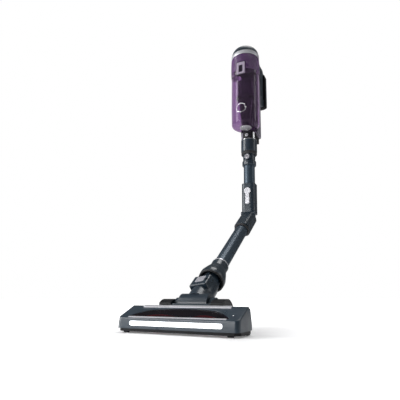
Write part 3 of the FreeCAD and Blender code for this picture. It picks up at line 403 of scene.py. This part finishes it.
def circuit(name, color):
    """A lacquered board with fine straight tracks."""
    finish = Finish(name, color, 0.3, Coat_Weight=0.5)
    grid = finish.placed(UPPER, (0.3, 0.3, 0.3))
    bricks = finish.add("ShaderNodeTexBrick", [("Vector", grid), ("Scale", 1.0), ("Mortar Size", 0.08)])
    tracks = bricks.outputs["Fac"]
    finish.paint("Base Color", finish.mix(tracks, (*color, 1), (0.03, 0.28, 0.12, 1)))
    finish.bump((tracks, 0.05, 0.5))
    return finish.material


SLATE = (0.016, 0.028, 0.042)
NEAR_BLACK = (0.005, 0.005, 0.007)
TUBE_BLUE = (0.040, 0.064, 0.090)
finishes = {
    "slate": moulded("slate_plastic", SLATE, 0.34, coat=0.25),
    "head": moulded("head_plastic", (0.020, 0.036, 0.054), 0.33, coat=0.35),
    "light": moulded("light_plastic", (0.19, 0.175, 0.22), 0.4, coat=0.15),
    "plate": moulded("pale_plate", (0.34, 0.34, 0.37), 0.5, grain=0.05),
    "cap": moulded("cap_plastic", SLATE, 0.5, gloss=0.3),
    "black": moulded("black_plastic", NEAR_BLACK, 0.45, grain=0.04, gloss=0.25),
    "button": moulded("silver_button", (0.36, 0.35, 0.38), 0.3, coat=0.4),
    "lower_tube": painted_tube("lower_tube_paint", TUBE_BLUE, LOWER),
    "upper_tube": painted_tube("upper_tube_paint", TUBE_BLUE, UPPER),
    "bright": bright("bright_trim"),
    "silver": bright("satin_silver", (0.66, 0.66, 0.70), 0.3, metal=0.45),
    "steel": bright("plain_steel", (0.55, 0.55, 0.57), 0.3),
    "screen": bright("screen_metal", (0.05, 0.04, 0.06), 0.4),
    "dark_metal": bright("motor_metal", (0.06, 0.06, 0.07), 0.35),
    "rubber": rubber("black_rubber"),
    "tyre": rubber("tyre_rubber", (0.03, 0.03, 0.033), 0.8),
    "hose": rubber("hose_rubber", (0.012, 0.012, 0.015), 0.5),
    "cup": clear_purple("cup_purple", (0.48, 0.34, 0.54), 0.965),
    "lid": clear_purple("lid_purple", (0.46, 0.31, 0.53), 0.93),
    "inner": moulded("separator_purple", (0.010, 0.003, 0.016), 0.3, gloss=0.3),
    "latch": two_tone("latch_lilac", (0.40, 0.34, 0.44), (0.012, 0.006, 0.018), UPPER,
                      ((0, -82, 483.5), (6.7, 4.8, 13.1)), 0.28, coat=0.5),
    "bridge": two_tone("bridge_black", NEAR_BLACK, (0.030, 0.046, 0.062), HEAD,
                       ((0, 95, 50), (46, 30, 26)), 0.4, gloss=0.35),
    "pane": smoked_pane("pane_smoke", (0.010, 0.006, 0.010), 0.45),
    "rib": moulded("rib_purple", (0.12, 0.05, 0.165), 0.3, coat=0.3),
    "lamp": glowing("lamp_glow"),
    "red": two_tone("roller_red", (0.24, 0.012, 0.018), (0.004, 0.005, 0.005), HEAD,
                    ((8, 34, 18), (32, 20, 20)), 0.4),
    "bristle": fibre("bristle_black", (0.006, 0.006, 0.007)),
    "beater": fibre("beater_red", (0.42, 0.015, 0.02), 0.7),
    "foam": foam("filter_foam", (0.045, 0.035, 0.055)),
    "cell": moulded("cell_wrap", (0.02, 0.10, 0.22), 0.25, coat=0.4),
    "board": circuit("board_green", (0.01, 0.10, 0.05)),
}
NODE_FINISH = {
    "slate": ["neck_barrel", "neck_spigot", "neck_catch", "bell_collar", "flex_lower_shell",
              "flex_upper_shell", "lock_collar", "connector_sleeve", "grip_handle"],
    "cap": ["motor_cap"],
    "head": ["head_shell"],
    "bridge": ["rear_bridge"],
    "light": ["spine_housing", "power_button"],
    "plate": ["neck_plate"],
    "black": ["head_sole", "inlet_nozzle", "trigger", "impeller", "rear_wheel_left", "rear_wheel_right",
              "battery_case", "front_roller_left", "front_roller_right"],
    "button": ["wand_button", "inlet_button", "cup_badge"],
    "lower_tube": ["lower_tube"],
    "upper_tube": ["upper_tube"],
    "silver": ["rear_trim", "lip_trim", "sleeve_ring", "cap_ring", "flex_release"],
    "steel": ["sole_screws", "rear_axles", "pivot_pins", "flex_pin"],
    "screen": ["mesh_screen"],
    "dark_metal": ["brush_drive", "fan_motor"],
    "rubber": ["bell_lip", "flex_end_ring", "seal_ring"],
    "tyre": ["rear_tyre_left", "rear_tyre_right"],
    "cup": ["dust_cup"],
    "lid": ["lid_shell"],
    "inner": ["cyclone_cone"],
    "latch": ["lid_latch"],
    "pane": ["brush_window"],
    "lamp": ["led_lens", "led_strip"],
    "red": ["brush_core"],
    "foam": ["foam_filter"],
    "cell": ["battery_cells"],
    "board": ["circuit_board"],
}


# ---------------------------------------------------------------- ways of making a piece

def smooth_by_angle(limit):
    """A modifier tree that joins split points and smooths each edge that turns less than so many degrees."""
    tree = bpy.data.node_groups.new("smooth_by_angle", "GeometryNodeTree")
    tree.interface.new_socket("Geometry", in_out="INPUT", socket_type="NodeSocketGeometry")
    tree.interface.new_socket("Geometry", in_out="OUTPUT", socket_type="NodeSocketGeometry")
    nodes, links = tree.nodes, tree.links
    given, made = nodes.new("NodeGroupInput"), nodes.new("NodeGroupOutput")
    weld = nodes.new("GeometryNodeMergeByDistance")
    weld.inputs["Distance"].default_value = 1e-6
    faces = nodes.new("GeometryNodeSetShadeSmooth")
    edges = nodes.new("GeometryNodeSetShadeSmooth")
    edges.domain = "EDGE"
    angle = nodes.new("GeometryNodeInputMeshEdgeAngle")
    flat = nodes.new("FunctionNodeCompare")
    flat.operation = "LESS_EQUAL"
    flat.inputs[1].default_value = math.radians(limit)
    links.new(given.outputs[0], weld.inputs["Geometry"])
    links.new(weld.outputs["Geometry"], faces.inputs["Geometry"])
    links.new(faces.outputs["Geometry"], edges.inputs["Geometry"])
    links.new(angle.outputs["Unsigned Angle"], flat.inputs[0])
    links.new(flat.outputs[0], edges.inputs["Shade Smooth"])
    links.new(edges.outputs["Geometry"], made.inputs[0])
    return tree


SMOOTH = smooth_by_angle(32)


def smooth(thing):
    """Gives a piece the smoothing modifier."""
    thing.modifiers.new("smooth", "NODES").node_group = SMOOTH


def finish_nodes():
    """Gives every CAD node its finish and smooth round faces."""
    for finish, names in NODE_FINISH.items():
        for name in names:
            mesh = frame["nodes"][name].data
            mesh.materials.clear()
            mesh.materials.append(finishes[finish])
            if mesh.attributes.get("custom_normal"):
                mesh.attributes.remove(mesh.attributes["custom_normal"])
            smooth(frame["nodes"][name])


def piece(name, points, faces, place, finish, body=None):
    """A mesh from local millimetres that rides on a body, if one is given."""
    mesh = bpy.data.meshes.new(name)
    mesh.from_pydata([place @ Vector(point) for point in points], [], faces)
    mesh.validate()
    mesh.materials.append(finishes[finish])
    thing = bpy.data.objects.new(name, mesh)
    scene.collection.objects.link(thing)
    smooth(thing)
    if body:
        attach(thing, body)
    return thing


def rings_to_faces(rings, count, closed=False, capped=False):
    """Faces between rings of points, which come one ring after another."""
    faces = []
    for ring in range(rings if closed else rings - 1):
        for index in range(count):
            here, after, following = ring * count, (ring + 1) % rings * count, (index + 1) % count
            faces.append((here + index, here + following, after + following, after + index))
    if capped:
        faces.append(tuple(reversed(range(count))))
        faces.append(tuple(range((rings - 1) * count, rings * count)))
    return faces


def loft(name, rings, place, finish, body=None, closed=False, capped=False):
    """A skin over rings that have the same number of points."""
    points = [point for ring in rings for point in ring]
    return piece(name, points, rings_to_faces(len(rings), len(rings[0]), closed, capped), place, finish, body)


def bundle(name, lofts, place, finish, body):
    """One mesh of several capped skins, each over rings of the same number of points."""
    points, faces = [], []
    for rings in lofts:
        base, count = len(points), len(rings[0])
        points += [point for ring in rings for point in ring]
        skin = rings_to_faces(len(rings), count, capped=True)
        faces += [tuple(base + corner for corner in face) for face in skin]
    return piece(name, points, faces, place, finish, body)


def around_z(radius, height, turn):
    """A (radius, height) point turned about the local Z."""
    return radius * math.cos(turn), radius * math.sin(turn), height


def arc_of(section, start, end, steps):
    """Copies of a (radius, height) section turned about the local Z from one angle to another, in degrees."""
    turns = [math.radians(start + (end - start) * step / steps) for step in range(steps + 1)]
    return [[around_z(radius, height, turn) for radius, height in section] for turn in turns]


def round_rings(section, segments, place_point=around_z):
    """Copies of a (radius, height) section all the way round, with each point placed by a function."""
    turns = [math.tau * segment / segments for segment in range(segments)]
    return [[place_point(radius, height, turn) for radius, height in section] for turn in turns]


def lathe(name, profile, place, finish, body, segments=64):
    """A piece turned about the local Z from a closed profile of (radius, height) points."""
    count = len(profile)
    faces = []
    for segment in range(segments):
        here, after = segment * count, (segment + 1) % segments * count
        for index in range(count):
            following = (index + 1) % count
            faces.append((here + index, after + index, after + following, here + following))
    points = [point for ring in round_rings(profile, segments) for point in ring]
    return piece(name, points, faces, place, finish, body)


def hoop(radius, thick, high=None, sides=10):
    """The profile of a round bead: (radius, height) points about a circle."""
    high = high or thick
    return [(radius + thick * math.cos(math.tau * side / sides), high * math.sin(math.tau * side / sides))
            for side in range(sides)]


def slab(name, sizes, place, finish, body, rounding):
    """A small block with rounded edges, centred on its place."""
    shape = bmesh.new()
    bmesh.ops.create_cube(shape, size=1, matrix=Matrix.Diagonal((*sizes, 1)))
    bmesh.ops.bevel(shape, geom=shape.edges[:], offset=rounding, segments=3, affect="EDGES", profile=0.5)
    shape.verts.ensure_lookup_table()
    points = [vertex.co.copy() for vertex in shape.verts]
    faces = [[vertex.index for vertex in face.verts] for face in shape.faces]
    shape.free()
    return piece(name, points, faces, place, finish, body)


# ---------------------------------------------------------------- soft and fine pieces

def flex_hose():
    """The ribbed bellows, swept round the hinge from the upper shell to the lower one."""
    hinge = Vector((0, -HINGE_FRONT, HINGE_UP))
    straight, straight_steps = 9.0, 8
    ribs, rib_depth, around = 9, 0.11, 40
    half_wide, half_deep, middle = 15.4, 10.4, 2.2
    steps = ribs * 6
    rings = []
    for step in range(-straight_steps, steps + straight_steps + 1):
        share = min(max(step / steps, 0), 1)
        above = straight * max(-step, 0) / straight_steps
        below = straight * max(step - steps, 0) / straight_steps
        turn = Matrix.Rotation(-FLEX_BEND * share, 3, "X")
        swell = 1.0 - rib_depth * (0.5 + 0.5 * math.cos(math.tau * ribs * share))
        ring = []
        for index in range(around):
            angle = math.tau * index / around
            point = Vector((half_wide * swell * math.cos(angle), middle + half_deep * swell * math.sin(angle),
                            HINGE_UP + above - below))
            ring.append(hinge + turn @ (point - hinge))
        rings.append(ring)
    hose = loft("bellows", rings, UPPER, "hose", capped=True)
    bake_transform(hose)
    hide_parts("flex_hose")


def bristle_rows(name, first_turn, finish, node, tuft, gap, tip):
    """Rows of tufts, three strands wide, that follow the two twisted strips of each half of the roller."""
    core, half_long, twist = 12.0, 105.0, math.radians(150)
    lofts = []
    for strip, side, index in product(range(2), (-1, 1), range(int((half_long - 2) / gap))):
        away = 1.5 + index * gap
        angle = math.radians(first_turn) + strip * math.pi + twist * (away - 1) / (half_long - 1)
        turn = Matrix.Rotation(angle, 3, "Z")
        for strand in (-1, 0, 1):
            wobble = 0.35 * math.sin(index * 2.4 + strand * 1.7)
            rings = []
            for height, wide in ((core, tuft), ((core + tip) / 2, tuft * 0.8), (tip - 0.5, tuft * 0.55)):
                shift = wobble * (height - core) / (tip - core)
                sideways = strand * tuft * 1.3 + shift
                corners = [math.tau * (corner + 0.5) / 4 for corner in range(4)]
                rings.append([turn @ Vector((height, sideways + wide * math.cos(way),
                                             side * away + wide * math.sin(way) + shift)) for way in corners])
            lofts.append(rings)
    place = HEAD @ Matrix.Translation(BRUSH) @ Matrix.Rotation(math.pi / 2, 4, "Y")
    rows = bundle(name, lofts, place, finish, "brush")
    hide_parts(node)


def cup_emblem():
    """A plain ring wrapped round the front of the cup."""
    emblem_high, skin = 341, CUP_RADIUS + 0.3

    def wrapped(radius, height, turn):
        across = radius * math.cos(turn)
        deep = math.sqrt((skin + height) ** 2 - across * across)
        return across, -deep, emblem_high + radius * math.sin(turn)

    rings = round_rings(hoop(15.2, 1.0, 0.8), 72, wrapped)
    loft("cup_emblem", rings, CUP, "bright", "cup", closed=True)


def seam_gasket():
    """The gasket in the slanted seam between the cup and the lid."""
    def slanted(radius, height, turn):
        return radius * math.cos(turn), radius * math.sin(turn) / math.cos(SEAM_TILT), height

    seam = CUP @ Matrix.Translation((0, 0, SEAM_HIGH)) @ Matrix.Rotation(SEAM_TILT, 4, "X")
    rings = round_rings(hoop(CUP_RADIUS + 0.1, 0.9, 0.75, 8), 96, slanted)
    loft("seam_gasket", rings, seam, "rubber", "hand_unit", closed=True)


def lid_radius(height):
    """The outer radius of the lid at a height between the ends of its (height, radius) outline."""
    outline = [(481.0, 47.2), (505.0, 47.6), (532.0, 47.2), (541.8, 46.0)]
    for (low, low_radius), (high, high_radius) in zip(outline, outline[1:]):
        if height <= high:
            return low_radius + (high_radius - low_radius) * (height - low) / (high - low)


def lid_ribs():
    """Fine rings moulded round the lid above its slanted seam, broken by the latch and by the spine."""
    first_rib, rib_step, latch_high, spine_at = 484.0, 3.2, 510, 40
    lofts = []
    for index in range(18):
        height = first_rib + index * rib_step
        section = [(lid_radius(height) + radius, height + up) for radius, up in hoop(0, 0.35, 1.0, 8)]
        behind = (height - SEAM_HIGH - 3) / math.tan(SEAM_TILT)
        past = min(spine_at, math.degrees(math.asin(min(behind / CUP_RADIUS, 1))))
        if height > latch_high:
            lofts.append(arc_of(section, 180 - past, 360 + past, 90))
        else:
            lofts += [arc_of(section, 180 - past, 250, 40), arc_of(section, 290, 360 + past, 40)]
    bundle("lid_ribs", lofts, CUP, "rib", "hand_unit")


def nozzle_strips():
    """The pale and the silver strips at the sides of the inlet."""
    section = [(24.6, 258), (25.3, 258.4), (25.3, 280.2), (24.6, 280.8)]
    bundle("nozzle_pale", [arc_of(section, 196, 236, 12)], UPPER, "light", "hand_unit")
    bundle("nozzle_silver", [arc_of(section, 314, 330, 8)], UPPER, "bright", "hand_unit")


def button_details():
    """A bright rim and a dark dimple on each round button, and rings on the plate below the cup."""
    for button in ("wand_button", "inlet_button"):
        low, high = reach(button, UPPER)
        wide = (high.x - low.x) / 2
        place = UPPER @ Matrix.Translation(((low.x + high.x) / 2, low.y, (low.z + high.z) / 2))
        place = place @ Matrix.Rotation(math.pi / 2, 4, "X")
        lathe(f"{button}_rim", hoop(wide * 0.78, wide * 0.05), place, "bright", button, 40)
        dimple = [(0.01, 0.14), (wide * 0.2, 0.12), (wide * 0.26, -0.3), (0.01, -0.3)]
        lathe(f"{button}_dimple", dimple, place, "rubber", button, 32)
    badge_foot = CUP @ Matrix.Translation((0, 0, reach("cup_badge", CUP)[0].z))
    for index, radius in enumerate((8.5, 15.5)):
        lathe(f"badge_ring_{index}", hoop(radius, 0.5), badge_foot, "bright", "cup", 56)


def wing_lamp():
    """A small lamp on the right wing, square to the sloping top."""
    right, back = 112, 19
    high = SLOPE_FRONT[1] + (back - SLOPE_FRONT[0]) * math.tan(HEAD_SLOPE)
    spot = HEAD @ Matrix.Translation((right, back, high)) @ Matrix.Rotation(HEAD_SLOPE, 4, "X")
    dome = [(0.01, 0.9), (0.9, 0.8), (1.5, 0.4), (1.7, -0.2), (0.01, -0.2)]
    lathe("wing_lamp", dome, spot, "bright", "head", 24)


def socket_bead():
    """The silver bead over the wand's socket."""
    lathe("socket_bead", hoop(25.4, 0.9), UPPER @ Matrix.Translation((0, 0, 256.6)), "bright", "wand_upper")


def grip_ridges():
    """Rubber ridges on the front of the grip."""
    for index in range(6):
        place = UPPER @ Matrix.Translation((0, 89.9, 480 + index * 4.6))
        slab(f"grip_ridge_{index}", (20, 1.2, 2), place, "rubber", "hand_unit", 0.5)


def spine_slit_shades():
    """Black bars that paint the shade in the outlet slits across the back of the spine."""
    for index in range(9):
        place = UPPER @ Matrix.Translation((0, 50.1, 316 + index * 7))
        # painted shade: each slit is drawn as a black bar for the dark inside of the opening
        slab(f"spine_vent_shade_{index}", (30, 0.8, 3), place, "black", "hand_unit", 0.35)


def battery_panels():
    """Thin slate panels on the sides and the back of the battery."""
    for side in (-1, 1):
        place = UPPER @ Matrix.Translation((side * 24.1, 136.5, 515))
        slab(f"battery_panel_{side + 1}", (1.0, 13, 104), place, "slate", "battery", 0.45)
    place = UPPER @ Matrix.Translation((0, 147.8, 509))
    slab("battery_back_panel", (34, 1.0, 86), place, "slate", "battery", 0.45)


def side_slit_shades():
    """Black bars that paint the shade in short slits high on both sides of the spine."""
    for side, index in product((-1, 1), range(5)):
        place = UPPER @ Matrix.Translation((side * 30.1, 26, 500 + index * 5))
        # painted shade: each slit is drawn as a black bar for the dark inside of the opening
        slab(f"spine_slot_shade_{side + 1}_{index}", (0.7, 26, 2.2), place, "black", "hand_unit", 0.3)


def cap_details():
    """A dark parting ring at the foot of the dome, and at its back a fan of black bars that paint the shade
    in its outlet slots.
    """
    dome_foot = CUP @ Matrix.Translation((0, 0, 556.2))
    lathe("cap_parting", hoop(CUP_RADIUS - 0.35, 0.45), dome_foot, "black", "hand_unit", 72)
    count, between = 7, 14
    for index in range(count):
        turn = Matrix.Rotation(math.radians(90 + (index - count // 2) * between), 4, "Z")
        place = CUP @ turn @ Matrix.Translation((44.9, 0, 561.5)) @ Matrix.Rotation(math.radians(-12), 4, "Y")
        # painted shade: each outlet slot is drawn as a black bar for the dark inside of the opening
        slab(f"cap_slot_shade_{index}", (0.9, 7, 2), place, "black", "hand_unit", 0.4)


make_camera()
make_studio()
make_floor()
finish_nodes()
flex_hose()
bristle_rows("bristle_tufts", 20, "bristle", "bristle_strips", 0.42, 1.5, 17.2)
bristle_rows("beater_tufts", 110, "beater", "beater_strips", 0.55, 1.3, 17.0)
cup_emblem()
seam_gasket()
lid_ribs()
nozzle_strips()
button_details()
wing_lamp()
socket_bead()
grip_ridges()
spine_slit_shades()
battery_panels()
side_slit_shades()
cap_details()
